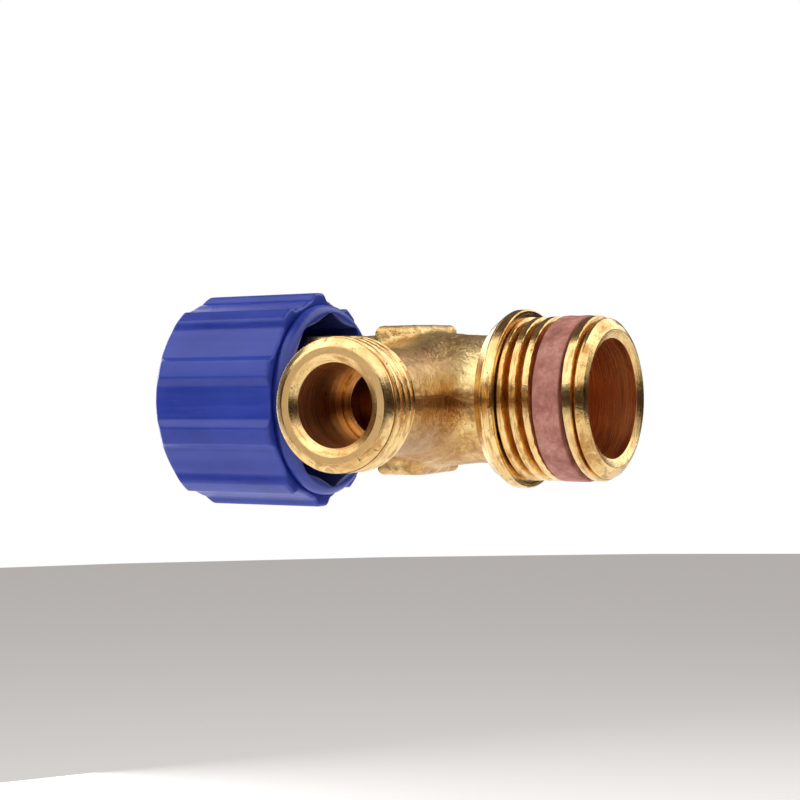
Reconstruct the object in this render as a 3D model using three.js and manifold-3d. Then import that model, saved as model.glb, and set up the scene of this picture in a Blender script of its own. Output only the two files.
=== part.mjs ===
// Angle stop valve, raw brass, with a fluted blue cup handwheel.
// Units mm. Main axis along X: threaded inlet at +X, handwheel at -X.
// Side outlet along -Y. Origin on the main axis, in the collar's front face.
import * as THREE from 'three';
import { mergeVertices } from 'three/addons/utils/BufferGeometryUtils.js';
import Module from 'manifold-3d';

// ---- driving dimensions ----
const SEG = 32;
const IN_CREST = 10.45, IN_ROOT = 9.35, IN_PITCH = 1.814, IN_LEN = 11.9, IN_BORE = 7.6;
const COLLAR_R = 11.43, COLLAR_T = 3.0, NECK_R = 8.27;
const RING_X0 = 5.03, RING_X1 = 8.6, RING_R = 10.5, RING_GROOVE_R = 9.2;
const SEAT_HOLE = 4.6, SEAT_X = -9.2, CHAMBER_R = 6.5, CHAMBER_X = -8.2, BONNET_THREAD_R = 6.9;
const REAR_R = 8.5, REAR_X = -26.2;
const OUT_X = -12.95, OUT_Y = 28.3, OUT_CREST = 8.33, OUT_ROOT = 7.5, OUT_PITCH = 1.337;
const OUT_BORE = 5.2, OUT_CONE = 6.25, OUT_CONE_D = 0.6, OUT_STEP = 11.6, OUT_INNER = 4.07, OUT_THREAD_END = 22.3, OUT_NECK = 6.9;
const LUG_X0 = -19.8, LUG_X1 = -13.3, LUG_Y = 5.85, LUG_Z = 9.7;
const HEX_AF = 17.0, HEX_X0 = -31.0, HEX_X1 = -26.5;
const KNOB_RIM = -31.2, KNOB_BACK = -48.1, KNOB_END = -49.9;
const KNOB_LAND = 14.35, KNOB_FLUTE = 13.25, KNOB_END_R = 11.8, FLUTES = 10;
const LIP_R = 12.75, LIP_X = -29.5, LIP_LOBE = 10.85, LIP_CUSP = 11.9;

const wasm = await Module();
wasm.setup();

function toManifold(geo) {
  const g = geo.clone();
  g.deleteAttribute('normal');
  if (g.getAttribute('uv')) g.deleteAttribute('uv');
  const m = mergeVertices(g, 1e-4);
  return new wasm.Manifold(new wasm.Mesh({
    numProp: 3,
    vertProperties: new Float32Array(m.getAttribute('position').array),
    triVerts: new Uint32Array(m.getIndex().array),
  }));
}
function fromManifold(man) {
  const mesh = man.getMesh();
  const g = new THREE.BufferGeometry();
  g.setAttribute('position', new THREE.BufferAttribute(new Float32Array(mesh.vertProperties), 3));
  g.setIndex(new THREE.BufferAttribute(new Uint32Array(mesh.triVerts), 1));
  g.computeVertexNormals();
  return g;
}
const cut = (a, ...b) => { let m = toManifold(a); for (const q of b) m = m.subtract(toManifold(q)); return fromManifold(m); };
const join = (a, ...b) => { let m = toManifold(a); for (const q of b) m = m.add(toManifold(q)); return fromManifold(m); };
const common = (a, b) => fromManifold(toManifold(a).intersect(toManifold(b)));

// closed lathe about X from a list of [x, r]; the profile must start and end on the axis or close on itself
function latheX(pts, seg = SEG) {
  const a = pts.reduce((s, p, i) => { const q = pts[(i + 1) % pts.length]; return s + p[0] * q[1] - q[0] * p[1]; }, 0);
  const list = a > 0 ? pts.slice().reverse() : pts.slice();
  const v = list.map(([x, r]) => new THREE.Vector2(Math.max(r, 0), x));
  if (list[0][1] > 0 || list[list.length - 1][1] > 0) v.push(v[0].clone());
  const g = new THREE.LatheGeometry(v, seg);
  g.rotateZ(-Math.PI / 2); // lathe axis +Y becomes +X
  return orient(g);
}
function orient(g) {
  const h = g.toNonIndexed ? (g.index ? g.toNonIndexed() : g) : g;
  const p = h.getAttribute('position');
  let vol = 0;
  const a = new THREE.Vector3(), b = new THREE.Vector3(), c = new THREE.Vector3();
  for (let i = 0; i < p.count; i += 3) {
    a.fromBufferAttribute(p, i); b.fromBufferAttribute(p, i + 1); c.fromBufferAttribute(p, i + 2);
    vol += a.dot(b.cross(c));
  }
  if (vol < 0) {
    const arr = p.array;
    for (let i = 0; i < p.count; i += 3) {
      for (let k = 0; k < 3; k++) {
        const t = arr[(i + 1) * 3 + k]; arr[(i + 1) * 3 + k] = arr[(i + 2) * 3 + k]; arr[(i + 2) * 3 + k] = t;
      }
    }
  }
  h.deleteAttribute('normal');
  if (h.getAttribute('uv')) h.deleteAttribute('uv');
  const out = mergeVertices(h, 1e-4);
  out.computeVertexNormals();
  return out;
}
// prism along X from points [y, z]
function prismX(yz, x0, x1, holes = []) {
  const s = new THREE.Shape(yz.map(([y, z]) => new THREE.Vector2(y, z)));
  for (const h of holes) s.holes.push(new THREE.Path(h.map(([y, z]) => new THREE.Vector2(y, z))));
  const g = new THREE.ExtrudeGeometry(s, { depth: x1 - x0, bevelEnabled: false, curveSegments: 12 });
  // shape x -> world y, shape y -> world z, extrusion -> world x
  const m = new THREE.Matrix4().set(0, 0, 1, x0, 1, 0, 0, 0, 0, 1, 0, 0, 0, 0, 0, 1);
  g.applyMatrix4(m);
  return orient(g);
}
function ringPts(fn, n) {
  const out = [];
  for (let i = 0; i < n; i++) { const t = (i / n) * Math.PI * 2; const r = fn(t); out.push([r * Math.cos(t), r * Math.sin(t)]); }
  return out;
}
const hexPts = (af, phase = 0) => { const out = []; for (let i = 0; i < 6; i++) { const t = phase + (i * Math.PI) / 3; const r = af / Math.sqrt(3); out.push([r * Math.cos(t), r * Math.sin(t)]); } return out; };

const group = new THREE.Group();
function add(name, geo, color, roughness, metalness) {
  const mesh = new THREE.Mesh(geo, new THREE.MeshStandardMaterial({ color, roughness, metalness }));
  mesh.name = name;
  group.add(mesh);
  return mesh;
}

// ---- valve body ----
function ridge(list, xc, w, crest, root, half) {
  list.push([xc - half, root], [xc - w, crest], [xc + w, crest], [xc + half, root]);
}
const bodyOuter = [[REAR_X, 0], [REAR_X, REAR_R - 0.4], [REAR_X + 0.4, REAR_R], [-19.0, REAR_R], [-11.5, REAR_R], [-9.6, NECK_R], [-COLLAR_T, NECK_R],
  [-COLLAR_T, 10.3], [-1.55, COLLAR_R], [0, COLLAR_R]];
bodyOuter.push([0, IN_ROOT]);
ridge(bodyOuter, 0.95, 0.3, IN_CREST, IN_ROOT, 0.8);
ridge(bodyOuter, 0.95 + IN_PITCH, 0.3, IN_CREST, IN_ROOT, 0.8);
bodyOuter.push([3.85, IN_ROOT], [4.35, IN_CREST], [RING_X0 - 0.12, IN_CREST], [RING_X0 - 0.12, RING_GROOVE_R], [RING_X1 + 0.12, RING_GROOVE_R], [RING_X1 + 0.12, IN_ROOT + 0.2],
  [9.15, IN_CREST], [9.95, IN_CREST], [10.4, 9.7], [10.6, 10.1], [11.2, 10.0], [IN_LEN, 8.8], [IN_LEN, 0]);
const outer = latheX(bodyOuter);

const branchPts = [[5.0, 0], [5.0, 8.6], [8.2, 8.3], [10.2, 7.3], [14.0, OUT_NECK], [OUT_THREAD_END - 0.5, OUT_NECK], [OUT_THREAD_END, OUT_ROOT]];
for (let k = 0; k < 4; k++) ridge(branchPts, OUT_THREAD_END + 0.68 + k * OUT_PITCH, 0.2, OUT_CREST, OUT_ROOT, 0.6);
branchPts.push([27.62, OUT_ROOT], [27.62, 7.95], [OUT_Y, 7.35], [OUT_Y, 0]);
const branch = latheX(branchPts);
branch.rotateZ(-Math.PI / 2); // +X becomes -Y
branch.translate(OUT_X, 0, 0);

// wrench block: flats above and below, square to the outlet
const lugShape = [[-LUG_Y, -LUG_Z + 0.9], [-LUG_Y + 0.7, -LUG_Z], [LUG_Y - 0.7, -LUG_Z], [LUG_Y, -LUG_Z + 0.9], [LUG_Y, LUG_Z - 0.9], [LUG_Y - 0.7, LUG_Z], [-LUG_Y + 0.7, LUG_Z], [-LUG_Y, LUG_Z - 0.9]];
const lug = prismX(lugShape, LUG_X0, LUG_X1);

const bodyBore = latheX([[IN_LEN + 1, 0], [IN_LEN + 1, IN_BORE], [-1.5, IN_BORE], [-4.5, SEAT_HOLE], [SEAT_X - 2, SEAT_HOLE], [SEAT_X - 2, 0]]);
const chamber = latheX([[CHAMBER_X, 5.7], [CHAMBER_X, CHAMBER_R], [-18.6, CHAMBER_R], [-19.0, BONNET_THREAD_R], [REAR_X - 1, BONNET_THREAD_R], [REAR_X - 1, 0], [SEAT_X, 0], [SEAT_X, 5.2]]);
const outBore = latheX([[4.2, 0], [4.2, OUT_INNER], [OUT_Y - OUT_STEP, OUT_INNER], [OUT_Y - OUT_STEP, OUT_BORE], [OUT_Y - OUT_CONE_D, OUT_BORE], [OUT_Y, OUT_CONE], [OUT_Y + 1, OUT_CONE], [OUT_Y + 1, 0]], 28);
outBore.rotateZ(-Math.PI / 2);
outBore.translate(OUT_X, 0, 0);
add('valve_body', cut(join(outer, branch, lug), bodyBore, chamber, outBore), 0xc9973f, 0.32, 1.0);

// ---- pink sealing ring in the inlet thread ----
add('inlet_seal_ring', latheX([[RING_X0, RING_GROOVE_R + 0.12], [RING_X0, RING_R - 0.1], [RING_X0 + 0.15, RING_R], [RING_X1 - 0.15, RING_R], [RING_X1, RING_R - 0.1], [RING_X1, RING_GROOVE_R + 0.12]]), 0xc38f86, 0.8, 0.0);

// ---- headwork: bonnet, gasket ----
const bonnetSkin = latheX([[-19.2, 0], [-19.2, 6.2], [-19.7, 6.65], [-25.6, 6.65], [-25.6, 6.2], [HEX_X1, 6.2], [HEX_X1, 6.6], [HEX_X0, 6.6], [HEX_X0 - 0.4, 6.4], [-36.5, 6.4], [-37.3, 5.6], [-41.2, 5.6], [-41.5, 5.2], [-41.5, 0]]);
const hexBlank = prismX(hexPts(HEX_AF, 0), HEX_X0, HEX_X1);
const hexTurn = latheX([[HEX_X0 - 1, 0], [HEX_X0 - 1, 7.6], [HEX_X0 + 1.1, 9.85], [HEX_X1, 9.85], [HEX_X1, 0]]);
const plungerBore = latheX([[-18, 0], [-18, 5.0], [-26.6, 5.0], [-26.6, 0]], 28);
const hexBore = prismX(hexPts(8.6, 0), -34.4, -25.5);
const shoulderBore = latheX([[-34.0, 0], [-34.0, 4.3], [-35.0, 4.3], [-35.0, 3.2], [-42.5, 3.2], [-42.5, 0]], 28);
add('bonnet', cut(join(bonnetSkin, common(hexBlank, hexTurn)), plungerBore, hexBore, shoulderBore), 0xc79a4a, 0.3, 1.0);
const torusX = (xc, rMid, rx, rr, n = 8, seg = 20) => latheX(Array.from({ length: n }, (_, i) => { const t = (i / n) * Math.PI * 2; return [xc + rx * Math.cos(t), rMid + rr * Math.sin(t)]; }), seg);
add('bonnet_o_ring', latheX([[-25.72, 6.32], [-25.72, 6.8], [-26.38, 6.8], [-26.38, 6.32]], 28), 0x17171a, 0.6, 0.0);

// ---- spindle group ----
const splinePts = (ri, ro, n, ph = 0) => { const out = []; for (let i = 0; i < n; i++) { const c = (i / n) * Math.PI * 2 + ph; const w = Math.PI / n; out.push([ro * Math.cos(c - w * 0.4), ro * Math.sin(c - w * 0.4)], [ro * Math.cos(c + w * 0.4), ro * Math.sin(c + w * 0.4)], [ri * Math.cos(c + w * 0.75), ri * Math.sin(c + w * 0.75)], [ri * Math.cos(c + w * 1.25), ri * Math.sin(c + w * 1.25)]); } return out; };
const spindleTurn = latheX([[-23.2, 0], [-23.2, 1.9], [-23.6, 2.25], [-31.9, 2.25], [-32.2, 2.6], [-32.2, 4.0], [-33.8, 4.0], [-33.8, 3.0], [-36.15, 3.0], [-36.15, 2.2], [-37.75, 2.2], [-37.75, 3.0], [-38.6, 3.0], [-38.6, 2.2], [-40.2, 2.2], [-40.2, 3.0], [-41.7, 3.0], [-41.7, 2.3], [-42.5, 2.3], [-42.5, 2.75], [-43.2, 2.75], [-43.2, 0]], 24);
const spline = prismX(splinePts(2.65, 2.95, 12), -46.9, -43.0);
const screwHole = latheX([[-40.5, 0], [-40.9, 1.5], [-47.5, 1.5], [-47.5, 0]], 24);
add('spindle', cut(join(spindleTurn, spline), screwHole), 0xc9a050, 0.25, 1.0);
add('spindle_o_ring_inner', torusX(-36.95, 2.68, 0.66, 0.42), 0x17171a, 0.6, 0.0);
add('spindle_o_ring_outer', torusX(-39.4, 2.68, 0.66, 0.42), 0x17171a, 0.6, 0.0);
add('slip_washer', latheX([[-34.0, 3.25], [-34.0, 4.15], [-34.8, 4.15], [-34.8, 3.25]], 24), 0xe8e4da, 0.5, 0.0);
// open C-clip in the spindle groove
const clipPts = [];
for (let i = 0; i <= 16; i++) { const t = THREE.MathUtils.degToRad(25 + (310 * i) / 16); clipPts.push([4.4 * Math.cos(t), 4.4 * Math.sin(t)]); }
for (let i = 16; i >= 0; i--) { const t = THREE.MathUtils.degToRad(25 + (310 * i) / 16); clipPts.push([2.45 * Math.cos(t), 2.45 * Math.sin(t)]); }
add('retaining_clip', prismX(clipPts, -42.35, -41.8), 0xb9bcc2, 0.25, 1.0);

// ---- plunger group ----
const plungerTurn = latheX([[-10.75, 0], [-10.75, 6.15], [-13.1, 6.15], [-13.6, 5.6], [-13.6, 4.7], [-20.2, 4.7], [-20.2, 3.85], [-21.8, 3.85], [-21.8, 4.7], [-22.4, 4.7], [-22.4, 0]], 28);
const plungerHex = prismX(hexPts(8.0, 0), -28.0, -22.0);
const washerPocket = latheX([[-10.0, 0], [-10.0, 5.7], [-11.9, 5.7], [-11.9, 0]], 28);
const driveBore = latheX([[-18.5, 0], [-18.5, 2.6], [-29.0, 2.6], [-29.0, 0]], 24);
const stubHole = latheX([[-11.0, 0], [-11.0, 1.6], [-17.6, 1.6], [-17.6, 0]], 24);
add('plunger', cut(join(plungerTurn, plungerHex), washerPocket, driveBore, stubHole), 0xc9a050, 0.28, 1.0);
add('seat_washer', latheX([[-9.5, 2.0], [-9.5, 5.35], [-9.75, 5.6], [-11.8, 5.6], [-11.8, 2.0]], 28), 0x141416, 0.7, 0.0);
// screw head and shank that hold the washer
const washerScrew = cut(latheX([[-8.0, 0], [-8.0, 2.5], [-8.4, 2.9], [-9.35, 2.9], [-9.35, 1.4], [-16.9, 1.4], [-16.9, 0]], 32), prismX([[-4, -0.35], [4, -0.35], [4, 0.35], [-4, 0.35]], -8.7, -7.0));
add('washer_screw', washerScrew, 0xc9a050, 0.25, 1.0);
add('plunger_o_ring', torusX(-21.0, 4.4, 0.68, 0.5), 0x17171a, 0.6, 0.0);

// ---- handwheel ----
const flute = (land, deep) => (t) => {
  // t measured so that a land sits at +Z and -Z
  const per = (Math.PI * 2) / FLUTES;
  let a = ((t - Math.PI / 2) % per + per) % per;
  if (a > per / 2) a = per - a;
  const top = THREE.MathUtils.degToRad(4.2), foot = THREE.MathUtils.degToRad(9.2);
  if (a <= top) return land;
  if (a >= foot) return deep;
  const s = (a - top) / (foot - top);
  return land + (deep - land) * s;
};
function flutedRing(land, deep) {
  const per = (Math.PI * 2) / FLUTES, out = [];
  const offs = [-18, -9.2, -4.2, 4.2, 9.2].map(THREE.MathUtils.degToRad);
  for (let k = 0; k < FLUTES; k++) for (const o of offs) { const t = Math.PI / 2 + k * per + o; const r = flute(land, deep)(t); out.push([r * Math.cos(t), r * Math.sin(t)]); }
  return out;
}
function starRing(lobe, cusp) {
  const per = (Math.PI * 2) / FLUTES, out = [];
  for (let k = 0; k < FLUTES; k++) for (let j = 0; j < 4; j++) {
    const o = (j / 4) * per; const t = Math.PI / 2 + k * per + o;
    const r = cusp - (cusp - lobe) * Math.pow(Math.abs(Math.sin((o / per) * Math.PI)), 0.7);
    out.push([r * Math.cos(t), r * Math.sin(t)]);
  }
  return out;
}
const skirt = prismX(flutedRing(KNOB_LAND, KNOB_FLUTE), KNOB_END, KNOB_RIM);
const turnEnv = latheX([[KNOB_END, 0], [KNOB_END, KNOB_END_R], [KNOB_BACK, 14.15], [KNOB_RIM - 0.3, KNOB_LAND + 0.02], [KNOB_RIM + 1, KNOB_LAND], [KNOB_RIM + 1, 0]], 28);
const lip = latheX([[KNOB_RIM - 2, 0], [KNOB_RIM - 2, LIP_R], [LIP_X - 1.1, LIP_R], [LIP_X - 0.35, LIP_R - 0.4], [LIP_X, LIP_R - 1.1], [LIP_X, 0]], 28);
const cup = prismX(starRing(LIP_LOBE, LIP_CUSP), -44.6, LIP_X + 1);
const hub = latheX([[-42.9, 0], [-42.9, 5.6], [-43.2, 6.0], [-45.2, 6.0], [-45.2, 0]], 28);
const socket = prismX(splinePts(2.85, 3.15, 12), -47.1, -42.0);
const headBore = latheX([[-47.0, 0], [-47.0, 1.75], [-47.4, 1.75], [-47.4, 3.4], [-49.0, 3.4], [-49.0, 8.6], [-51, 8.6], [-51, 0]], 24);
const shell = cut(join(common(skirt, turnEnv), lip), cup);
add('handle', cut(join(shell, hub), socket, headBore), 0x3f4ea5, 0.35, 0.0);
const handleScrew = cut(latheX([[-41.6, 0], [-41.6, 1.1], [-41.8, 1.3], [-47.5, 1.3], [-47.5, 3.1], [-48.3, 3.1], [-48.75, 2.5], [-48.75, 0]], 32), prismX([[-2.2, -0.4], [2.2, -0.4], [2.2, 0.4], [-2.2, 0.4]], -49.2, -48.1), prismX([[-0.4, -2.2], [0.4, -2.2], [0.4, 2.2], [-0.4, 2.2]], -49.2, -48.1));
add('handle_screw', handleScrew, 0xc4c6cb, 0.25, 1.0);
add('handle_cap', latheX([[-49.1, 0], [-49.1, 8.3], [-49.85, 8.3], [-50.15, 7.8], [-50.25, 5.0], [-50.3, 0]], 64), 0x3f4ea5, 0.35, 0.0);

export default group;
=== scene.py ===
import math
import bpy
import numpy as np
from mathutils import Vector, Matrix, noise


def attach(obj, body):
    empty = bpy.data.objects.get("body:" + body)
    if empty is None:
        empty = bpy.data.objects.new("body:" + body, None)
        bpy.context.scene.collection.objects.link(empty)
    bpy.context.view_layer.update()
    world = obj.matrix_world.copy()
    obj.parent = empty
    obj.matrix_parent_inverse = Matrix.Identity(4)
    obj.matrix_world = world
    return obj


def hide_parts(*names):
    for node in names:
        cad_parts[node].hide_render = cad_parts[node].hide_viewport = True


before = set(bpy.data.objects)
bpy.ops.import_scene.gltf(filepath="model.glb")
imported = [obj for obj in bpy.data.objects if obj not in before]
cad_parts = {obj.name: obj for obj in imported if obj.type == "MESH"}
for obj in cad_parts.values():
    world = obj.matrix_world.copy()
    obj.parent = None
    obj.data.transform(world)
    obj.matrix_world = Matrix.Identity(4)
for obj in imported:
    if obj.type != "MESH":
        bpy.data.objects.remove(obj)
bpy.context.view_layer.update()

MM = 0.001
SCENE = bpy.context.scene


# ---------------------------------------------------------------- mesh helpers
def link(ob):
    SCENE.collection.objects.link(ob)
    return ob


def mesh_object(name, verts, faces, smooth=True, sharp_deg=38.0):
    me = bpy.data.meshes.new(name)
    verts = np.asarray(verts, float) * MM
    me.vertices.add(len(verts))
    me.vertices.foreach_set("co", verts.ravel())
    faces = np.asarray(faces, np.int32)
    n = faces.shape[1]
    me.loops.add(faces.size)
    me.loops.foreach_set("vertex_index", faces.ravel())
    me.polygons.add(len(faces))
    me.polygons.foreach_set("loop_start", np.arange(0, faces.size, n, dtype=np.int32))
    me.polygons.foreach_set("loop_total", np.full(len(faces), n, dtype=np.int32))
    me.update(calc_edges=True)
    me.validate()
    me.polygons.foreach_set("use_smooth", np.full(len(me.polygons), smooth, dtype=bool))
    if smooth and sharp_deg:
        me.set_sharp_from_angle(angle=math.radians(sharp_deg))
    return link(bpy.data.objects.new(name, me))


def ring_grid(P):
    """P[s, t, 3], closed both ways; returns vertices and quads facing out when s runs with the outline."""
    S, T, _ = P.shape
    idx = np.arange(S * T).reshape(S, T)
    a = idx
    b = np.roll(idx, -1, 0)
    c = np.roll(np.roll(idx, -1, 0), -1, 1)
    d = np.roll(idx, -1, 1)
    return P.reshape(-1, 3), np.stack([a, b, c, d], -1).reshape(-1, 4)


def signed_volume(V, F):
    V = np.asarray(V, float)
    tot = 0.0
    for i in range(1, F.shape[1] - 1):
        a, b, c = V[F[:, 0]], V[F[:, i]], V[F[:, i + 1]]
        tot += np.einsum("ij,ij->i", a, np.cross(b, c)).sum()
    return tot


def revolve(name, X, R, axis="X", offset=(0, 0, 0), th=None, sharp=38.0):
    """X[s, t] along the axis and R[s, t] from it, both for closed outlines."""
    S, T = R.shape
    if th is None:
        th = np.linspace(0, 2 * math.pi, T, endpoint=False)
    c, s = np.cos(th)[None, :], np.sin(th)[None, :]
    if axis == "X":
        P = np.stack([X, R * c, R * s], -1)
    else:  # axis -Y: X is the distance out from the main axis
        P = np.stack([R * c, -X, R * s], -1)
    P = P + np.asarray(offset, float)
    V, F = ring_grid(P)
    if signed_volume(V, F) < 0:
        F = F[:, ::-1]
    return mesh_object(name, V, F, sharp_deg=sharp)


def resample(pts, step):
    """Adds points along a closed outline, so that no side is longer than step."""
    out = []
    n = len(pts)
    for i in range(n):
        a, b = np.array(pts[i], float), np.array(pts[(i + 1) % n], float)
        k = max(1, int(math.ceil(np.linalg.norm(b - a) / step)))
        for j in range(k):
            out.append(a + (b - a) * j / k)
    return np.array(out)


def fillet(pts, rad, seg=4):
    """Rounds each corner of a closed outline; rad is one number or one for each corner."""
    n = len(pts)
    P = [np.array(p, float) for p in pts]
    rad = [rad] * n if np.isscalar(rad) else list(rad)
    out = []
    for i in range(n):
        p, a, b = P[i], P[i - 1], P[(i + 1) % n]
        u, v = a - p, b - p
        lu, lv = np.linalg.norm(u), np.linalg.norm(v)
        r = rad[i]
        if r <= 0 or lu < 1e-9 or lv < 1e-9:
            out.append(p)
            continue
        u, v = u / lu, v / lv
        ang = math.acos(max(-1.0, min(1.0, float(u @ v))))
        if ang > math.radians(172) or ang < math.radians(4):
            out.append(p)
            continue
        d = min(r / math.tan(ang / 2), 0.45 * lu, 0.45 * lv)
        s0, s1 = p + u * d, p + v * d
        for k in range(seg + 1):
            t = k / seg
            out.append((1 - t) ** 2 * s0 + 2 * t * (1 - t) * p + t * t * s1)
    return out


def smooth01(x):
    x = np.clip(x, 0, 1)
    return x * x * (3 - 2 * x)


def surface_nets(f, origin, h):
    """Closed quad surface of the zero level of a grid of distances, negative inside."""
    inside = f < 0
    nx, ny, nz = f.shape
    corner = [(i, j, k) for i in (0, 1) for j in (0, 1) for k in (0, 1)]
    cnt = sum(inside[i:nx - 1 + i, j:ny - 1 + j, k:nz - 1 + k].astype(np.int8) for i, j, k in corner)
    act = np.argwhere((cnt > 0) & (cnt < 8))
    val = {c: f[act[:, 0] + c[0], act[:, 1] + c[1], act[:, 2] + c[2]] for c in corner}
    pos = np.zeros((len(act), 3))
    num = np.zeros(len(act))
    for a in corner:
        for ax in range(3):
            if a[ax] == 1:
                continue
            b = tuple(1 if q == ax else a[q] for q in range(3))
            m = (val[a] < 0) != (val[b] < 0)
            t = val[a][m] / (val[a][m] - val[b][m])
            p = np.repeat(np.array([a], float), m.sum(), 0)
            p[:, ax] += t
            pos[m] += p
            num[m] += 1
    V = (act + pos / num[:, None]) * h + np.asarray(origin)
    lut = np.full((nx - 1, ny - 1, nz - 1), -1, np.int32)
    lut[act[:, 0], act[:, 1], act[:, 2]] = np.arange(len(act))
    quads = []
    for ax in range(3):
        o1, o2 = [q for q in range(3) if q != ax]
        s0 = [slice(1, -1)] * 3
        s0[ax] = slice(0, -1)
        s1 = [slice(1, -1)] * 3
        s1[ax] = slice(1, None)
        A, B = inside[tuple(s0)], inside[tuple(s1)]
        e = np.argwhere(A != B)
        flip = A[e[:, 0], e[:, 1], e[:, 2]]
        e = e + np.array([0 if q == ax else 1 for q in range(3)])
        def cell(d1, d2):
            c = e.copy()
            c[:, o1] -= d1
            c[:, o2] -= d2
            return lut[c[:, 0], c[:, 1], c[:, 2]]
        q = np.stack([cell(1, 1), cell(0, 1), cell(0, 0), cell(1, 0)], -1)
        if ax == 1:
            flip = ~flip
        q = np.where(flip[:, None], q, q[:, ::-1])
        quads.append(q)
    Q = np.concatenate(quads)
    return V, Q[(Q >= 0).all(1)]


def smin(a, b, k):
    h = np.maximum(k - np.abs(a - b), 0.0) / k
    return np.minimum(a, b) - h * h * h * k / 6.0


# ---------------------------------------------------------------- node helpers
class Nodes:
    def __init__(self, name):
        self.mat = bpy.data.materials.new(name)
        self.mat.use_nodes = True
        self.t = self.mat.node_tree
        self.t.nodes.clear()
        self.out = self.t.nodes.new("ShaderNodeOutputMaterial")
        self.b = self.t.nodes.new("ShaderNodeBsdfPrincipled")
        self.t.links.new(self.b.outputs[0], self.out.inputs["Surface"])
        tc = self.t.nodes.new("ShaderNodeTexCoord")
        self.obj = tc.outputs["Object"]

    def link(self, a, b):
        self.t.links.new(a, b)

    def put(self, sock, v):
        if isinstance(v, bpy.types.NodeSocket):
            self.link(v, sock)
        elif v is not None:
            sock.default_value = v

    def math(self, op, a, b=None, c=None, clamp=False):
        n = self.t.nodes.new("ShaderNodeMath")
        n.operation = op
        n.use_clamp = clamp
        self.put(n.inputs[0], a)
        if b is not None:
            self.put(n.inputs[1], b)
        if c is not None:
            self.put(n.inputs[2], c)
        return n.outputs[0]

    def scale(self, v, s):
        n = self.t.nodes.new("ShaderNodeVectorMath")
        n.operation = "MULTIPLY"
        self.put(n.inputs[0], v)
        n.inputs[1].default_value = s if not np.isscalar(s) else (s, s, s)
        return n.outputs[0]

    def xyz(self, v):
        n = self.t.nodes.new("ShaderNodeSeparateXYZ")
        self.link(v, n.inputs[0])
        return n.outputs

    def combine(self, x, y, z):
        n = self.t.nodes.new("ShaderNodeCombineXYZ")
        for i, q in enumerate((x, y, z)):
            self.put(n.inputs[i], q)
        return n.outputs[0]

    def noise(self, v, scale=1.0, detail=3.0, rough=0.55, dist=0.0):
        n = self.t.nodes.new("ShaderNodeTexNoise")
        self.link(v, n.inputs["Vector"])
        n.inputs["Scale"].default_value = scale
        n.inputs["Detail"].default_value = detail
        n.inputs["Roughness"].default_value = rough
        n.inputs["Distortion"].default_value = dist
        return n.outputs["Fac"]

    def voronoi(self, v, scale=1.0, feature="F1"):
        n = self.t.nodes.new("ShaderNodeTexVoronoi")
        n.feature = feature
        self.link(v, n.inputs["Vector"])
        n.inputs["Scale"].default_value = scale
        return n.outputs["Distance"]

    def ramp(self, fac, stops):
        n = self.t.nodes.new("ShaderNodeValToRGB")
        self.link(fac, n.inputs[0])
        e = n.color_ramp.elements
        while len(e) < len(stops):
            e.new(0.5)
        for q, (p, c) in zip(e, stops):
            q.position = p
            q.color = (c, c, c, 1) if np.isscalar(c) else (*c, 1)
        return n.outputs["Color"]

    def mix(self, fac, a, b, mode="MIX"):
        n = self.t.nodes.new("ShaderNodeMix")
        n.data_type = "RGBA"
        n.blend_type = mode
        self.put(n.inputs[0], fac)
        for i, v in ((6, a), (7, b)):
            if isinstance(v, bpy.types.NodeSocket):
                self.link(v, n.inputs[i])
            else:
                n.inputs[i].default_value = (*v, 1) if len(v) == 3 else v
        return n.outputs[2]

    def bump(self, height, strength, dist, normal=None):
        n = self.t.nodes.new("ShaderNodeBump")
        n.inputs["Strength"].default_value = strength
        n.inputs["Distance"].default_value = dist
        self.link(height, n.inputs["Height"])
        if normal is not None:
            self.link(normal, n.inputs["Normal"])
        return n.outputs[0]

    def turned(self, axis, centre=(0, 0, 0)):
        """A coordinate that runs along a turned part's outline, in metres: distance along the axis plus radius."""
        v = self.t.nodes.new("ShaderNodeVectorMath")
        v.operation = "SUBTRACT"
        self.link(self.obj, v.inputs[0])
        v.inputs[1].default_value = centre
        x, y, z = self.xyz(v.outputs[0])
        a, p, q = (x, y, z) if axis == "X" else (y, x, z)
        r = self.math("SQRT", self.math("ADD", self.math("MULTIPLY", p, p), self.math("MULTIPLY", q, q)))
        run = self.math("ADD", a, r) if axis == "X" else self.math("SUBTRACT", r, a)
        return self.combine(self.math("MULTIPLY", run, 1000.0), self.math("MULTIPLY", p, 40.0), self.math("MULTIPLY", q, 40.0)), r, a


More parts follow.
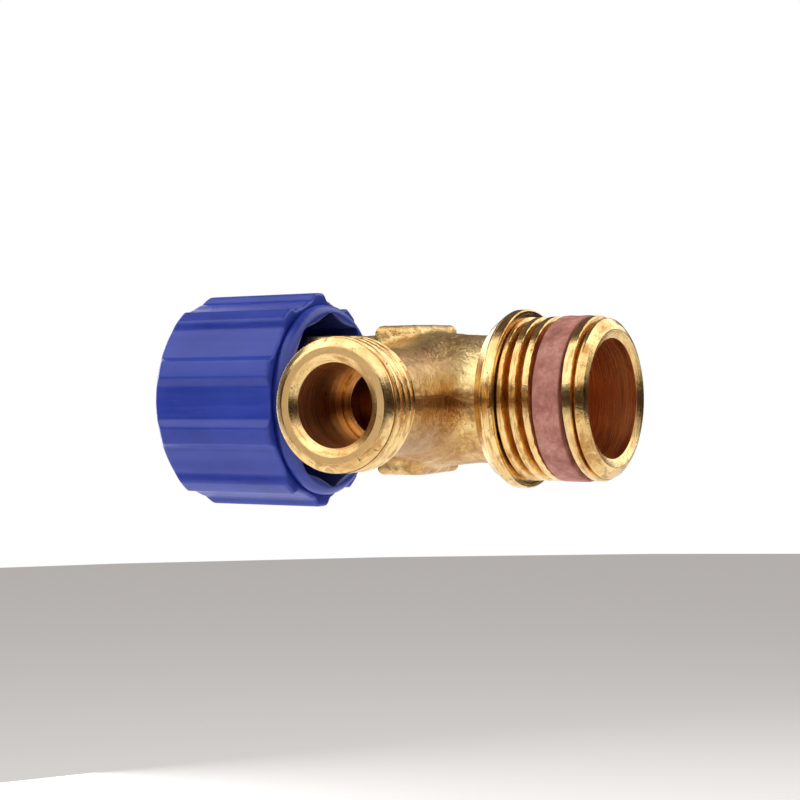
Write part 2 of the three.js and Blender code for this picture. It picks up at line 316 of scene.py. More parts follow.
def brass_turned(name, axis="X", centre=(0, 0, 0), tone=(0.93, 0.67, 0.29), dark=(0.50, 0.245, 0.065), rough=0.12, line=0.42, stain=0.75, groove=None, bore=None, bore_tone=(0.30, 0.125, 0.04), end=None, edge=None):
    m = Nodes(name)
    run, r, a = m.turned(axis, centre)
    fine = m.noise(m.scale(run, (9.0, 1.0, 1.0)), 1.0, 4.0, 0.7)
    coarse = m.noise(m.scale(run, (2.2, 0.6, 0.6)), 1.0, 3.0, 0.6)
    patch = m.noise(m.scale(run, (1.6, 9.0, 9.0)), 1.0, 5.0, 0.68, 0.5)
    cloud = m.noise(m.obj, 190.0, 5.0, 0.66, 0.8)
    spots = m.noise(m.obj, 1050.0, 3.0, 0.6)
    col = m.mix(m.math("MULTIPLY", m.ramp(cloud, [(0.40, 0.0), (0.66, 1.0)]), stain), tone, dark)
    col = m.mix(m.math("MULTIPLY", m.ramp(patch, [(0.50, 0.0), (0.61, 1.0)]), stain), col, (0.42, 0.195, 0.052))
    col = m.mix(m.math("MULTIPLY", m.ramp(coarse, [(0.46, 0.0), (0.72, 1.0)]), 0.45), col, (1.0, 0.84, 0.50))
    pit = m.ramp(spots, [(0.655, 0.0), (0.70, 1.0)])
    col = m.mix(m.math("MULTIPLY", pit, 0.75), col, (0.10, 0.045, 0.015))
    rr = m.math("MULTIPLY_ADD", cloud, 0.18, rough - 0.06)
    # painted shade: the colour darkens towards the thread roots, in patches
    if groove:
        lo, hi, a0, a1 = groove
        g = m.math("MULTIPLY_ADD", r, -1.0 / ((hi - lo) * MM), hi / (hi - lo), clamp=True)
        g = m.math("MULTIPLY", g, m.math("MULTIPLY", m.math("GREATER_THAN", a, a0 * MM), m.math("LESS_THAN", a, a1 * MM)))
        g = m.math("MULTIPLY", g, m.math("MULTIPLY_ADD", patch, 0.9, 0.35, clamp=True))
        col = m.mix(g, col, (0.42, 0.175, 0.04))
        rr = m.math("MULTIPLY_ADD", g, 0.12, rr)
    if bore:
        inner = m.math("LESS_THAN", r, (bore + 0.04) * MM)
        if end is not None:  # the bright shoulder at the bottom of the bore
            inner = m.math("MULTIPLY", inner, m.math("GREATER_THAN", m.math("ABSOLUTE", m.math("SUBTRACT", a, end * MM)), 0.14 * MM))
        streak = m.noise(m.scale(run, (7.0, 3.0, 3.0)), 1.0, 5.0, 0.75)
        wall = m.mix(m.ramp(streak, [(0.34, 0.0), (0.66, 1.0)]), tuple(q * 0.42 for q in bore_tone), tuple(q * 1.45 for q in bore_tone))
        col = m.mix(inner, col, wall)
        rr = m.math("MULTIPLY_ADD", inner, 0.14, rr)
    if edge:
        # dull, rougher face between two radii, beyond a place on the axis, with a painted highlight: its colour is
        # lightened towards bright brass
        e0, e1, far = edge
        e = m.math("MULTIPLY", m.math("GREATER_THAN", r, e0 * MM), m.math("LESS_THAN", r, e1 * MM))
        e = m.math("MULTIPLY", e, m.math("GREATER_THAN", m.math("ABSOLUTE", a), far * MM))
        col = m.mix(m.math("MULTIPLY", e, m.math("MULTIPLY_ADD", cloud, 1.2, 0.1, clamp=True)), col, (0.95, 0.64, 0.28))
        rr = m.math("MULTIPLY_ADD", e, 0.34, rr)
    m.link(col, m.b.inputs["Base Color"])
    m.b.inputs["Metallic"].default_value = 1.0
    rr = m.math("MULTIPLY_ADD", fine, 0.10, rr)
    m.link(rr, m.b.inputs["Roughness"])
    h = m.math("ADD", m.math("MULTIPLY", fine, 0.6), m.math("MULTIPLY", coarse, 0.8))
    n1 = m.bump(h, line, 0.00006)
    n2 = m.bump(m.noise(m.obj, 480.0, 4.0, 0.65), 0.34, 0.00010, n1)
    n3 = m.bump(m.noise(m.obj, 1900.0, 3.0, 0.6), 0.22, 0.00004, n2)
    m.link(n3, m.b.inputs["Normal"])
    return m.mat


def brass_forged(name):
    m = Nodes(name)
    x, y, z = m.xyz(m.obj)
    big = m.noise(m.obj, 135.0, 5.0, 0.62, 1.2)
    mid = m.noise(m.obj, 420.0, 5.0, 0.68, 0.9)
    grain = m.noise(m.obj, 1700.0, 4.0, 0.70)
    col = m.ramp(big, [(0.30, (0.50, 0.27, 0.085)), (0.43, (0.80, 0.52, 0.20)), (0.57, (0.98, 0.74, 0.34)), (0.74, (0.62, 0.36, 0.12))])
    col = m.mix(m.math("MULTIPLY", m.ramp(mid, [(0.50, 0.0), (0.66, 1.0)]), 0.55), col, (0.36, 0.17, 0.045))
    col = m.mix(m.math("MULTIPLY", m.ramp(grain, [(0.56, 0.0), (0.68, 1.0)]), 0.60), col, (0.26, 0.115, 0.03))
    # fine curly hairlines and pits left by the die
    curl = m.noise(m.obj, 560.0, 2.0, 0.5, 2.4)
    hair = m.ramp(curl, [(0.484, 0.0), (0.500, 1.0), (0.516, 0.0)])
    sparse = m.ramp(m.noise(m.obj, 190.0, 2.0, 0.5), [(0.47, 0.0), (0.56, 1.0)])
    hair = m.math("MULTIPLY", hair, sparse)
    col = m.mix(m.math("MULTIPLY", hair, 0.70), col, (0.14, 0.06, 0.016))
    specks = m.math("LESS_THAN", m.voronoi(m.obj, 1500.0), 0.19)
    col = m.mix(m.math("MULTIPLY", specks, 0.60), col, (0.13, 0.055, 0.014))
    # painted highlight high on the neck, where the metal colour is lightened, and painted shade below, where it is
    # darkened
    lx = m.math("MULTIPLY", m.math("ADD", x, 0.0050), 1.0 / 0.0032)
    lz = m.math("MULTIPLY", m.math("SUBTRACT", z, 0.0044), 1.0 / 0.0046)
    neck_painted_highlight = m.math("SUBTRACT", 1.15, m.math("ADD", m.math("MULTIPLY", lx, lx), m.math("MULTIPLY", lz, lz)), clamp=True)
    col = m.mix(m.math("MULTIPLY", neck_painted_highlight, m.math("MULTIPLY_ADD", mid, -2.2, 1.75, clamp=True)), col, (1.0, 0.80, 0.40))
    lower_painted_shade = m.math("MULTIPLY_ADD", z, -1.0 / 0.0040, -0.35, clamp=True)
    col = m.mix(m.math("MULTIPLY", lower_painted_shade, m.math("MULTIPLY_ADD", mid, 2.2, -0.55, clamp=True)), col, (0.44, 0.22, 0.07))
    # painted shade in the web between the neck and the branch, darkened in patches
    wx = m.math("MULTIPLY", m.math("ADD", x, 0.0098), 1.0 / 0.0040)
    wz = m.math("MULTIPLY", z, 1.0 / 0.0080)
    web_painted_shade = m.math("SUBTRACT", 1.25, m.math("ADD", m.math("MULTIPLY", wx, wx), m.math("MULTIPLY", wz, wz)), clamp=True)
    web_painted_shade = m.math("MULTIPLY", web_painted_shade, m.math("LESS_THAN", y, -0.0040))
    web_painted_shade = m.math("MULTIPLY", web_painted_shade, m.math("MULTIPLY_ADD", big, 4.0, -1.0, clamp=True))
    col = m.mix(m.math("MULTIPLY", web_painted_shade, 0.92), col, (0.33, 0.148, 0.045))
    # the band where the two dies met: the parting line is real, its dark colour is a painted reflection of the dark gap
    # at camera height
    lift = m.math("MULTIPLY", mid, 0.0022)
    seam_and_painted_reflection = m.math("ABSOLUTE", m.math("ADD", z, m.math("SUBTRACT", 0.0009, lift)))
    seam_and_painted_reflection = m.math("MULTIPLY_ADD", seam_and_painted_reflection, -1.0 / 0.0007, 2.0, clamp=True)
    seam_and_painted_reflection = m.math("MULTIPLY", seam_and_painted_reflection, m.math("LESS_THAN", y, -0.0045))
    col = m.mix(m.math("MULTIPLY", seam_and_painted_reflection, 0.80), col, (0.22, 0.095, 0.030))
    m.link(col, m.b.inputs["Base Color"])
    m.b.inputs["Metallic"].default_value = 1.0
    rr = m.math("MULTIPLY_ADD", mid, 0.25, 0.17)
    m.link(m.math("MULTIPLY_ADD", grain, 0.12, rr), m.b.inputs["Roughness"])
    n1 = m.bump(mid, 0.55, 0.00042)
    n2 = m.bump(grain, 0.75, 0.00018, n1)
    n3 = m.bump(hair, -0.35, 0.00010, n2)
    m.link(n3, m.b.inputs["Normal"])
    return m.mat


def blue_plastic(name):
    m = Nodes(name)
    x, y, z = m.xyz(m.obj)
    streak = m.noise(m.combine(m.math("MULTIPLY", x, 55.0), m.math("MULTIPLY", y, 700.0), m.math("MULTIPLY", z, 700.0)), 1.0, 5.0, 0.7)
    cloud = m.noise(m.obj, 130.0, 4.0, 0.55)
    fine = m.noise(m.obj, 1900.0, 3.0, 0.6)
    col = m.ramp(cloud, [(0.32, (0.018, 0.040, 0.325)), (0.68, (0.030, 0.060, 0.430))])
    col = m.mix(m.math("MULTIPLY", m.ramp(streak, [(0.45, 0.0), (0.75, 1.0)]), 0.35), col, (0.080, 0.115, 0.54))
    # painted shade: the lip face and the mouth of the cup are darkened almost to black, most at mid height
    rim = m.math("MULTIPLY_ADD", x, 1.0 / 0.0005, 31.3 / 0.5, clamp=True)
    low = m.math("SUBTRACT", 1.0, m.math("MULTIPLY", m.math("ABSOLUTE", z), 1.0 / 0.0125), clamp=True)
    col = m.mix(m.math("MULTIPLY", m.math("MULTIPLY", rim, low), 0.75), col, (0.006, 0.010, 0.080))
    m.link(col, m.b.inputs["Base Color"])
    m.b.inputs["Specular IOR Level"].default_value = 0.42
    m.b.inputs["Subsurface Weight"].default_value = 0.0
    m.link(m.math("MULTIPLY_ADD", streak, 0.16, 0.27), m.b.inputs["Roughness"])
    n1 = m.bump(streak, 0.30, 0.00010)
    m.link(m.bump(fine, 0.22, 0.00005, n1), m.b.inputs["Normal"])
    return m.mat


def pink_seal(name):
    m = Nodes(name)
    a = m.noise(m.obj, 430.0, 5.0, 0.72, 0.15)
    b = m.noise(m.obj, 1300.0, 4.0, 0.7)
    col = m.ramp(a, [(0.34, (0.33, 0.125, 0.098)), (0.5, (0.48, 0.198, 0.158)), (0.64, (0.62, 0.31, 0.25))])
    col = m.mix(m.math("MULTIPLY", m.ramp(b, [(0.55, 0.0), (0.8, 1.0)]), 0.4), col, (0.30, 0.13, 0.10))
    m.link(col, m.b.inputs["Base Color"])
    m.link(m.math("MULTIPLY_ADD", b, 0.2, 0.62), m.b.inputs["Roughness"])
    m.b.inputs["Specular IOR Level"].default_value = 0.3
    n1 = m.bump(a, 0.35, 0.0002)
    m.link(m.bump(b, 0.35, 0.0001, n1), m.b.inputs["Normal"])
    return m.mat


def plain_detail(name, dark, light, metallic=0.0, rough=0.5, scale=500.0, bump=0.2):
    m = Nodes(name)
    a = m.noise(m.obj, scale, 4.0, 0.6, 0.3)
    b = m.noise(m.obj, scale * 4, 3.0, 0.6)
    m.link(m.ramp(a, [(0.3, dark), (0.7, light)]), m.b.inputs["Base Color"])
    m.b.inputs["Metallic"].default_value = metallic
    m.link(m.math("MULTIPLY_ADD", b, 0.2, rough - 0.1), m.b.inputs["Roughness"])
    m.link(m.bump(b, bump, 0.00006), m.b.inputs["Normal"])
    return m.mat


OUT_X, OUT_Y = -12.95, 28.3
M_FORGED = brass_forged("forged_brass_look")
# the groove argument paints shade into the thread roots
M_INLET = brass_turned("inlet_turned_brass", groove=(9.35, 10.2, 0.05, 10.55), bore=7.6, bore_tone=(0.70, 0.31, 0.115))
# the edge argument paints a highlight on the outlet's end face
M_OUTLET = brass_turned("outlet_turned_brass", axis="Y", centre=(OUT_X * MM, 0, 0), groove=(7.5, 8.1, -27.4, -21.9), bore=5.2, bore_tone=(0.68, 0.36, 0.17), end=-16.7, edge=(6.2, 7.15, 28.1))
M_BONNET = brass_turned("bonnet_turned_brass", tone=(0.86, 0.58, 0.22), rough=0.2, stain=0.3)
M_INNER = brass_turned("inner_turned_brass", tone=(0.88, 0.62, 0.26), rough=0.18, stain=0.2)
M_BLUE = blue_plastic("blue_moulded_plastic")
M_PINK = pink_seal("pink_sealing_ring")
M_RUBBER = plain_detail("black_rubber_look", (0.012, 0.012, 0.013), (0.03, 0.03, 0.032), rough=0.55)
M_WHITE = plain_detail("white_polymer_look", (0.72, 0.70, 0.65), (0.84, 0.82, 0.78), rough=0.45)
M_STEEL = plain_detail("bright_steel_look", (0.52, 0.53, 0.55), (0.68, 0.69, 0.71), metallic=1.0, rough=0.25)


def dress(ob, mat, body=None, replaces=None):
    ob.data.materials.clear()
    ob.data.materials.append(mat)
    if body:
        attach(ob, body)
    if replaces:
        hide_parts(*replaces)
    return ob


# ---------------------------------------------------------------- forging
def forging():
    h = 0.18
    lo = np.array([-26.9, -23.4, -10.6])
    hi = np.array([-2.0, 10.6, 10.6])
    n = np.ceil((hi - lo) / h).astype(int) + 1
    x = (lo[0] + h * np.arange(n[0]))[:, None, None]
    y = (lo[1] + h * np.arange(n[1]))[None, :, None]
    z = (lo[2] + h * np.arange(n[2]))[None, None, :]
    rx = np.sqrt(y * y + z * z)
    rb = np.sqrt((x - OUT_X) ** 2 + z * z)
    tube = rx - (8.24 + 0.22 * smooth01((-19.5 - x) / 1.0)) - 0.0 * x
    tube = np.maximum(tube, np.maximum(x + 2.5, -26.15 - x))
    branch = np.maximum(rb - 6.85, np.maximum(-22.9 - y, y))
    boss = np.sqrt((x - OUT_X + 0.3) ** 2 * 1.0 + (y + 3.0) ** 2 * 0.75 + z * z * 1.0) - 8.3
    f = smin(tube, branch, 5.0)
    f = smin(f, boss, 2.5)
    # wrench block: rounded box
    cx, hx = -16.55, 3.25
    bx = np.abs(x - cx) - (hx - 0.9)
    by = np.abs(y) - (5.85 - 0.9)
    bz = np.abs(z) - (9.68 - 0.9)
    box = np.sqrt(np.maximum(bx, 0) ** 2 + np.maximum(by, 0) ** 2 + np.maximum(bz, 0) ** 2) + np.minimum(np.maximum(np.maximum(bx, by), bz), 0) - 0.9
    f = smin(f, box, 1.9)
    # parting line of the two dies, in the plane of both axes
    z_part = 0.10 + 1.15 * np.exp(-((x + 7.3) / 1.9) ** 2) * (y < -5)
    f = f - 0.17 * np.exp(-((z - z_part) / 0.20) ** 2)
    # inside: chamber, headwork thread, branch passage
    f = np.maximum(f, -np.maximum(rx - 6.5, np.maximum(x + 8.4, -19.0 - x)))
    f = np.maximum(f, -np.maximum(rx - 6.9, np.maximum(x + 19.0, -28.0 - x)))
    f = np.maximum(f, -np.maximum(rx - 6.9, -9.1 - x))
    f = np.maximum(f, -np.maximum(rb - 5.6, np.maximum(y + 6.8, -40.0 - y)))
    f = np.maximum(f, -np.maximum(rb - 4.1, np.maximum(y + 0.0, -40.0 - y)))
    V, Q = surface_nets(f.astype(np.float32), lo, h)
    if signed_volume(V, Q) < 0:
        Q = Q[:, ::-1]
    # hammered and blasted skin, kept off the bore walls
    N = np.zeros_like(V)
    fn = np.cross(V[Q[:, 2]] - V[Q[:, 0]], V[Q[:, 3]] - V[Q[:, 1]])
    for k in range(4):
        np.add.at(N, Q[:, k], fn)
    N /= np.maximum(np.linalg.norm(N, axis=1), 1e-9)[:, None]
    rr = np.sqrt(V[:, 1] ** 2 + V[:, 2] ** 2)
    outer = (rr > 7.6) | (V[:, 1] < -7.5)
    d = np.zeros(len(V))
    for i in np.nonzero(outer)[0]:
        p = Vector(V[i])
        d[i] = 0.075 * noise.noise(p * 0.42) + 0.045 * noise.noise(p * 1.15 + Vector((7, 1, 3))) + 0.028 * noise.noise(p * 3.0)
    near_end = smooth01((V[:, 0] + 26.0) / 1.0) * smooth01((-2.9 - V[:, 0]) / 0.8)
    V = V + N * (d * near_end)[:, None]
    V = V[:]
    ob = mesh_object("valve_forging", V, Q, sharp_deg=0)
    return dress(ob, M_FORGED, "body", ["valve_body"])


# ---------------------------------------------------------------- threaded inlet
def thread_radius(x, th, x0, pitch, crest, root, crest_half, root_half):
    ph = (x - x0) / pitch - (th - math.pi) / (2 * math.pi)
    d = np.abs(ph - np.round(ph)) * pitch
    t = (d - crest_half) / (pitch / 2 - crest_half - root_half)
    t = np.clip(t, 0, 1)
    t = t * 0.7 + smooth01(t) * 0.3
    return crest + (root - crest) * t


def inlet():
    T = 288
    th = np.linspace(0, 2 * math.pi, T, endpoint=False)
    # outline from inside the neck, round the collar, thread, nose, end face and bore to the seat
    head = fillet([(-9.2, 7.15), (-3.4, 7.15), (-3.07, 8.3), (-3.07, 10.2), (-1.62, 11.25), (-1.5, 11.16), (-1.3, 11.43), (-0.05, 11.43), (0.0, 9.2)],
                  [0, 0, 0, 0.25, 0.1, 0.05, 0.12, 0.22, 0], 4)
    head = [tuple(p) for p in head]
    xs_a = np.arange(0.02, 5.0, 0.045)
    groove = [(5.0, 9.1), (8.62, 9.1)]
    xs_b = np.arange(8.63, 10.5, 0.045)
    nose = fillet([(10.5, 9.55), (10.62, 10.12), (11.0, 10.12), (11.58, 9.42), (11.90, 8.74), (11.86, 8.62), (11.38, 7.6), (-1.5, 7.6), (-4.5, 4.6), (-8.9, 4.6), (-9.2, 4.75), (-9.2, 5.1), (-8.9, 5.6), (-8.5, 5.75), (-8.5, 6.6), (-9.2, 6.9)],
                  [0.1, 0.2, 0.3, 0.30, 0.05, 0.05, 0.08, 0.3, 0.2, 0.1, 0.05, 0.05, 0.1, 0.1, 0, 0], 5)
    rows_x, rows_r = [], []
    wob = 0.018 * np.sin(3 * th + 0.6) + 0.012 * np.sin(7 * th + 2.1)
    for x, r in head:
        rows_x.append(np.full(T, x))
        rows_r.append(np.full(T, r) + (wob * 0.6 if r > 9 else 0))
    for x in xs_a:
        r = thread_radius(x, th, 0.47, 1.84, 10.45, 9.32, 0.40, 0.10)
        # the last turn runs out against the collar
        r = np.maximum(r, 9.32)
        edge = smooth01((x - 0.0) / 0.22)
        r = 9.3 + (r - 9.3) * edge
        rows_x.append(np.full(T, x))
        rows_r.append(r)
    for x, r in groove:
        rows_x.append(np.full(T, x))
        rows_r.append(np.full(T, r))
    for x in xs_b:
        r = thread_radius(x, th, 9.72, 1.9, 10.45, 9.4, 0.55, 0.1)
        g = smooth01((10.5 - x) / 0.25)
        r = 9.5 + (r - 9.5) * g
        r = 9.2 + (r - 9.2) * smooth01((x - 8.6) / 0.45)
        rows_x.append(np.full(T, x))
        rows_r.append(r)
    seg = []
    for i in range(len(nose)):
        seg.append(tuple(nose[i]))
    for x, r in seg:
        rows_x.append(np.full(T, x))
        rows_r.append(np.full(T, r))
    X, R = np.array(rows_x), np.array(rows_r)
    return dress(revolve("valve_inlet_end", X, R, "X", th=th), M_INLET, "body", ["valve_body"])


def seal_ring():
    T = 288
    th = np.linspace(0, 2 * math.pi, T, endpoint=False)
    prof = resample(fillet([(5.06, 9.25), (8.57, 9.25), (8.57, 10.38), (8.4, 10.52), (5.25, 10.52), (5.06, 10.36)], [0, 0, 0.12, 0.15, 0.15, 0.12], 4), 0.28)
    X = np.repeat(prof[:, 0:1], T, 1)
    R = np.repeat(prof[:, 1:2], T, 1)
    for i in range(len(prof)):
        if prof[i, 1] > 9.9:
            for j in range(T):
                p = Vector((prof[i, 0] * 0.8, math.cos(th[j]) * 6.0, math.sin(th[j]) * 6.0))
                R[i, j] += 0.045 * noise.noise(p) + 0.02 * noise.noise(p * 3.1)
                X[i, j] += 0.05 * noise.noise(p * 0.9 + Vector((3, 5, 9))) * (1 if prof[i, 1] > 10.3 else 0.5)
    return dress(revolve("inlet_sealing_ring", X, R, "X", th=th), M_PINK, "body", ["inlet_seal_ring"])


def outlet():
    T = 256
    th = np.linspace(0, 2 * math.pi, T, endpoint=False)
    a = fillet([(7.2, 5.9), (21.0, 5.9), (21.6, 6.6), (22.0, 7.35)], [0, 0, 0.2, 0], 3)
    rows_x, rows_r = [], []
    for x, r in a:
        rows_x.append(np.full(T, x)); rows_r.append(np.full(T, r))
    for x in np.arange(22.03, 27.35, 0.04):
        r = thread_radius(x, th, 22.75, 1.337, 8.33, 7.62, 0.26, 0.06)
        r = 7.4 + (r - 7.4) * smooth01((x - 22.0) / 0.45)
        rows_x.append(np.full(T, x)); rows_r.append(r)
    b = fillet([(27.36, 7.75), (27.45, 8.25), (27.66, 8.22), (28.10, 7.52), (28.26, 7.08), (28.3, 6.30), (27.66, 5.2), (17.12, 5.2), (17.04, 5.46), (16.72, 5.46), (16.7, 5.2), (16.7, 4.07), (7.2, 4.07)],
               [0.03, 0.10, 0.12, 0.20, 0.10, 0.05, 0.06, 0.02, 0.02, 0.02, 0, 0.08, 0], 4)
    for x, r in b:
        rows_x.append(np.full(T, x)); rows_r.append(np.full(T, r))
    X, R = np.array(rows_x), np.array(rows_r)
    return dress(revolve("valve_outlet_end", X, R, "Y", offset=(OUT_X, 0, 0), th=th), M_OUTLET, "body", ["valve_body"])


# ---------------------------------------------------------------- headwork
def bonnet():
    T = 360
    th = np.linspace(0, 2 * math.pi, T, endpoint=False)
    prof = fillet([(-19.2, 5.0), (-19.2, 6.2), (-19.7, 6.6), (-25.6, 6.6), (-25.6, 6.2), (-26.5, 6.2), (-26.5, 9.35), (-26.95, 9.81), (-30.3, 9.81), (-31.0, 8.4), (-31.0, 6.6), (-31.4, 6.35), (-36.5, 6.35), (-37.3, 5.6), (-41.2, 5.6), (-41.5, 5.2), (-41.5, 3.2), (-35.0, 3.2), (-35.0, 4.3), (-34.42, 4.3), (-34.4, 4.31), (-26.62, 4.31), (-26.6, 5.0)],
                  [0, 0.1, 0.1, 0.1, 0.05, 0, 0.1, 0.15, 0.15, 0.2, 0.1, 0.1, 0.2, 0.2, 0.1, 0.1, 0.05, 0, 0, 0, 0, 0, 0], 3)
    prof = resample(prof, 0.5)
    r_hex = 8.5 / np.cos(th % (math.pi / 3) - math.pi / 6)
    X = np.repeat(prof[:, 0:1], T, 1)
    R = np.repeat(prof[:, 1:2], T, 1)
    m = prof[:, 1] > 7.5
    # corners slightly broken
    r_hex = np.minimum(r_hex, 9.72)
    R[m] = np.minimum(R[m], r_hex[None, :])
    # the six-sided bore that the plunger slides in
    key = (prof[:, 1] < 4.35) & (prof[:, 1] > 4.305) & (prof[:, 0] > -34.41)
    R[key] = (4.3 / np.cos(th % (math.pi / 3) - math.pi / 6))[None, :]
    return dress(revolve("headwork_bonnet", X, R, "X", th=th, sharp=24), M_BONNET, "body", ["bonnet"])


# ---------------------------------------------------------------- handwheel
def handwheel():
    T = 720
    th = np.linspace(0, 2 * math.pi, T, endpoint=False)
    per = 2 * math.pi / 10
    a = (th - math.pi / 2) % per
    a = np.where(a > per / 2, per - a, a)
    deg = np.degrees(a)
    wall = smooth01((deg - 4.0) / 5.2)
    depth = 0.86 * wall + 0.26 * smooth01((deg - 8.0) / 10.0)
    star = 11.9 - (11.9 - 10.8) * np.sin(np.pi * a / per) ** 0.75
    x_rim, x_back, x_end, r_end = -31.2, -48.1, -49.9, 11.8
    rows_x, rows_r = [], []

    def row(x, r):
        rows_x.append(np.full(T, float(x)) if np.isscalar(x) else x)
        rows_r.append(np.full(T, float(r)) if np.isscalar(r) else r)

    # cap recess, end face
    row(-49.0, 3.4)
    row(-49.0, 8.55)
    row(-49.05, 8.6)
    row(-49.75, 8.6)
    row(-49.88, 8.72)
    for r in (8.9, 10.2, 11.2, 11.5):
        row(x_end, r)
    # chamfer and skirt
    def land(x):
        t = (x - x_rim) / (x_back - x_rim)
        return 14.35 + (14.15 - 14.35) * t
    n = 40
    xs = list(np.linspace(x_end + 0.02, x_back + 0.6, 22)) + list(np.linspace(x_back + 0.9, x_rim - 0.5, 22))
    for x in xs:
        env_t = (x - x_end) / (x_back - x_end)
        env = r_end + (14.15 - r_end) * env_t ** 0.82 if x < x_back + 0.6 else 99.0
        base = land(x) - depth
        R = -0.12 * np.log(np.exp(-base / 0.12) + np.exp(-env / 0.12)) if env < 90 else base
        R = np.minimum(np.minimum(base, env), R)
        row(x, R)
    # rim edge, undercut, then the round lip
    for k in range(6):
        q = k / 5 * math.pi / 2
        row(x_rim - 0.38 + 0.38 * math.sin(q), land(x_rim) - depth - 0.38 * (1 - math.cos(q)))
    row(x_rim + 0.01, 12.75)
    row(x_rim - 0.28, 12.35)
    row(x_rim - 0.25, 12.2)
    row(x_rim + 0.05, 12.3)
    row(x_rim + 0.22, 12.62)
    for k in range(9):
        q = k / 8 * math.pi / 2
        row(-30.62 + 1.12 * math.sin(q), 12.75 - 1.12 * (1 - math.cos(q)) if k else 12.75)
    # lip face to the star-shaped mouth
    lipc = -29.5
    for k in range(1, 6):
        q = k / 5
        row(lipc - 0.42 * (q ** 2.4), 11.63 + (star - 11.63) * (1 - (1 - q) ** 1.8))
    row(-30.3, star - 0.02)
    row(-33.0, star)
    row(-40.0, star - 0.05)
    row(-44.3, star - 0.1)
    row(-44.6, star - 0.4)
    row(-44.6, 6.2)
    row(-44.4, 6.0)
    row(-43.1, 6.0)
    row(-42.9, 5.8)
    row(-42.9, 3.3)
    row(-43.0, 3.16)
    row(-47.3, 3.16)
    X, R = np.array(rows_x), np.array(rows_r)
    return dress(revolve("blue_handwheel", X, R, "X", th=th, sharp=50), M_BLUE, "spindle_group", ["handle"])


def cap():
    T = 180
    prof = fillet([(-49.1, 0.02), (-49.1, 8.35), (-49.75, 8.35), (-50.1, 8.0), (-50.22, 7.0), (-50.2, 6.75), (-50.02, 6.6), (-50.02, 6.2), (-50.2, 6.05), (-50.25, 5.6), (-50.27, 0.02)],
                  [0, 0.1, 0.15, 0.3, 0.3, 0.05, 0.1, 0.1, 0.1, 0.3, 0], 4)
    prof = resample(prof, 0.7)
    X = np.repeat(prof[:, 0:1], T, 1)
    R = np.repeat(prof[:, 1:2], T, 1)
    return dress(revolve("handwheel_cap", X, R, "X"), M_BLUE, "spindle_group", ["handle_cap"])


forging()
inlet()
seal_ring()
outlet()
bonnet()
handwheel()
cap()

# carried-over inner pieces
for node, mat in {
    "spindle": M_INNER, "plunger": M_INNER, "washer_screw": M_INNER,
    "bonnet_o_ring": M_RUBBER, "spindle_o_ring_inner": M_RUBBER, "spindle_o_ring_outer": M_RUBBER,
    "plunger_o_ring": M_RUBBER, "seat_washer": M_RUBBER,
    "slip_washer": M_WHITE, "retaining_clip": M_STEEL, "handle_screw": M_STEEL,
}.items():
    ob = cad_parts[node]
    ob.data.materials.clear()
    ob.data.materials.append(mat)


# ---------------------------------------------------------------- stage, light, camera
def stage_plane(name, pts, mat):
    me = bpy.data.meshes.new(name)
    me.from_pydata(pts, [], [tuple(range(len(pts)))])
    ob = link(bpy.data.objects.new(name, me))
    ob.data.materials.append(mat)
    return ob


def stage_material(name, rgb, rough=0.9, emit=0.0):
    m = Nodes(name)
    m.b.inputs["Base Color"].default_value = (*rgb, 1)
    m.b.inputs["Roughness"].default_value = rough
    m.b.inputs["Specular IOR Level"].default_value = 0.0
    if emit:
        m.b.inputs["Emission Color"].default_value = (1, 1, 1, 1)
        m.b.inputs["Emission Strength"].default_value = emit
    return m.mat


floor_mat = stage_material("pale_floor", (0.93, 0.93, 0.93), emit=0.30)
FZ = -0.16
stage_plane("studio_floor", [(-3, -3, FZ), (3, -3, FZ), (3, 3, FZ), (-3, 3, FZ)], floor_mat)

world = bpy.data.worlds.new("studio")
SCENE.world = world
world.use_nodes = True
bg = world.node_tree.nodes["Background"]
bg.inputs["Color"].default_value = (1.0, 0.80, 0.66, 1)
bg.inputs["Strength"].default_value = 0.14

CEN = Vector((-0.0190, 0.0, 0.0))
CAM = Vector((0.13330591, -0.27660466, 0.00684169))
R = Vector((0.87580716, 0.48237905, -0.01650048))
U = Vector((0.00388431, 0.02714126, 0.99962406))
F = Vector((-0.48264555, 0.87554201, -0.0218968))
cam_d = bpy.data.cameras.new("camera")
cam_d.sensor_width = 36.0
cam_d.sensor_fit = "HORIZONTAL"
cam_d.lens = 36.0 * 2395.4625 / 800.0
cam_d.clip_start = 0.01
cam_d.clip_end = 20.0
cam = link(bpy.data.objects.new("camera", cam_d))
rot = Matrix((R, U, -F)).transposed().to_4x4()
cam.matrix_world = Matrix.Translation(CAM) @ rot
SCENE.camera = cam


def direction(az, el):
    a, e = math.radians(az), math.radians(el)
    return Vector((math.sin(a) * math.cos(e), -math.cos(a) * math.cos(e), math.sin(e)))


def softbox(name, az, el, dist, width, height, radiance, color=(1, 1, 1)):
    """An area light that faces the part; radiance is how bright it looks."""
    li = bpy.data.lights.new(name, "AREA")
    li.shape = "RECTANGLE"
    li.size, li.size_y = width, height
    li.energy = radiance * math.pi * width * height
    li.color = color
    ob = link(bpy.data.objects.new(name, li))
    ob.location = CEN + direction(az, el) * dist
    ob.rotation_euler = (-direction(az, el)).to_track_quat("-Z", "Y").to_euler()
    return ob


softbox("soft_top_front", -20, 50, 0.50, 1.05, 0.58, 1.55)
softbox("soft_low_front", -20, -50, 0.50, 1.05, 0.56, 0.98)
softbox("soft_right_high", 82, 34, 0.55, 0.55, 0.42, 1.35)
softbox("soft_right_low", 82, -34, 0.55, 0.55, 0.42, 1.05)
softbox("soft_back_high", 150, 33, 0.60, 0.66, 0.46, 1.55)
softbox("soft_back_low", 156, -36, 0.60, 0.60, 0.46, 0.95)
softbox("soft_left_back", -122, 4, 0.60, 0.40, 0.62, 2.6)


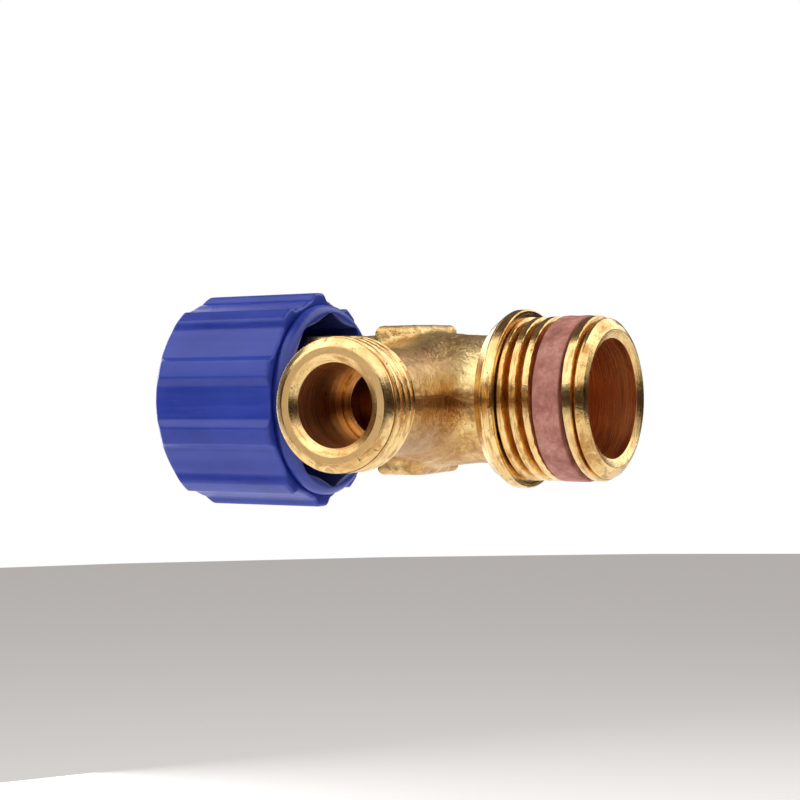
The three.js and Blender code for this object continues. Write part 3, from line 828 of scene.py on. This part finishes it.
def panel(name, az, el, dist, width, height, mat):
    d = direction(az, el)
    c = CEN + d * dist
    q = (-d).to_track_quat("-Z", "Y")
    ux, uy = q @ Vector((1, 0, 0)), q @ Vector((0, 1, 0))
    pts = [tuple(c + ux * (sx * width / 2) + uy * (sy * height / 2)) for sx, sy in ((-1, -1), (1, -1), (1, 1), (-1, 1))]
    return stage_plane(name, pts, mat)


# the dark gap between the two soft boxes, at camera height
flag_mat = stage_material("dark_flag", (0.026, 0.012, 0.008), rough=0.9)
gv, gf = [], []
steps = 40
for k in range(steps + 1):
    a = math.radians(-68 + 240 * k / steps)
    for z in (-0.070, 0.070):
        gv.append((CEN.x + 0.36 * math.sin(a), CEN.y - 0.36 * math.cos(a), z + 0.001))
for k in range(steps):
    gf.append((2 * k, 2 * k + 2, 2 * k + 3, 2 * k + 1))
gm = bpy.data.meshes.new("dark_gap")
gm.from_pydata(gv, [], gf)
gap = link(bpy.data.objects.new("dark_gap", gm))
gap.data.materials.append(flag_mat)
gap.visible_camera = False
gap.visible_shadow = False

# seamless white backdrop that only the camera sees
white = stage_material("white_backdrop", (1, 1, 1), emit=1.0)
white.node_tree.nodes["Principled BSDF"].inputs["Base Color"].default_value = (0, 0, 0, 1)
segs = 48
bv, bf = [], []
for k in range(segs):
    a = 2 * math.pi * k / segs
    for z in (-1.2, 1.2):
        bv.append((1.6 * math.cos(a), 1.6 * math.sin(a), z))
for k in range(segs):
    a, b = 2 * k, 2 * ((k + 1) % segs)
    bf.append((a, b, b + 1, a + 1))
bv += [(0, 0, 1.2), (0, 0, -1.2)]
for k in range(segs):
    a, b = 2 * k, 2 * ((k + 1) % segs)
    bf.append((a + 1, b + 1, 2 * segs))
    bf.append((b, a, 2 * segs + 1))
bm_ = bpy.data.meshes.new("white_backdrop")
bm_.from_pydata(bv, [], bf)
wall = link(bpy.data.objects.new("white_backdrop", bm_))
wall.data.materials.append(white)
for flag in ("visible_diffuse", "visible_glossy", "visible_transmission", "visible_volume_scatter", "visible_shadow"):
    setattr(wall, flag, False)

SCENE.view_settings.view_transform = "Standard"
SCENE.view_settings.look = "None"
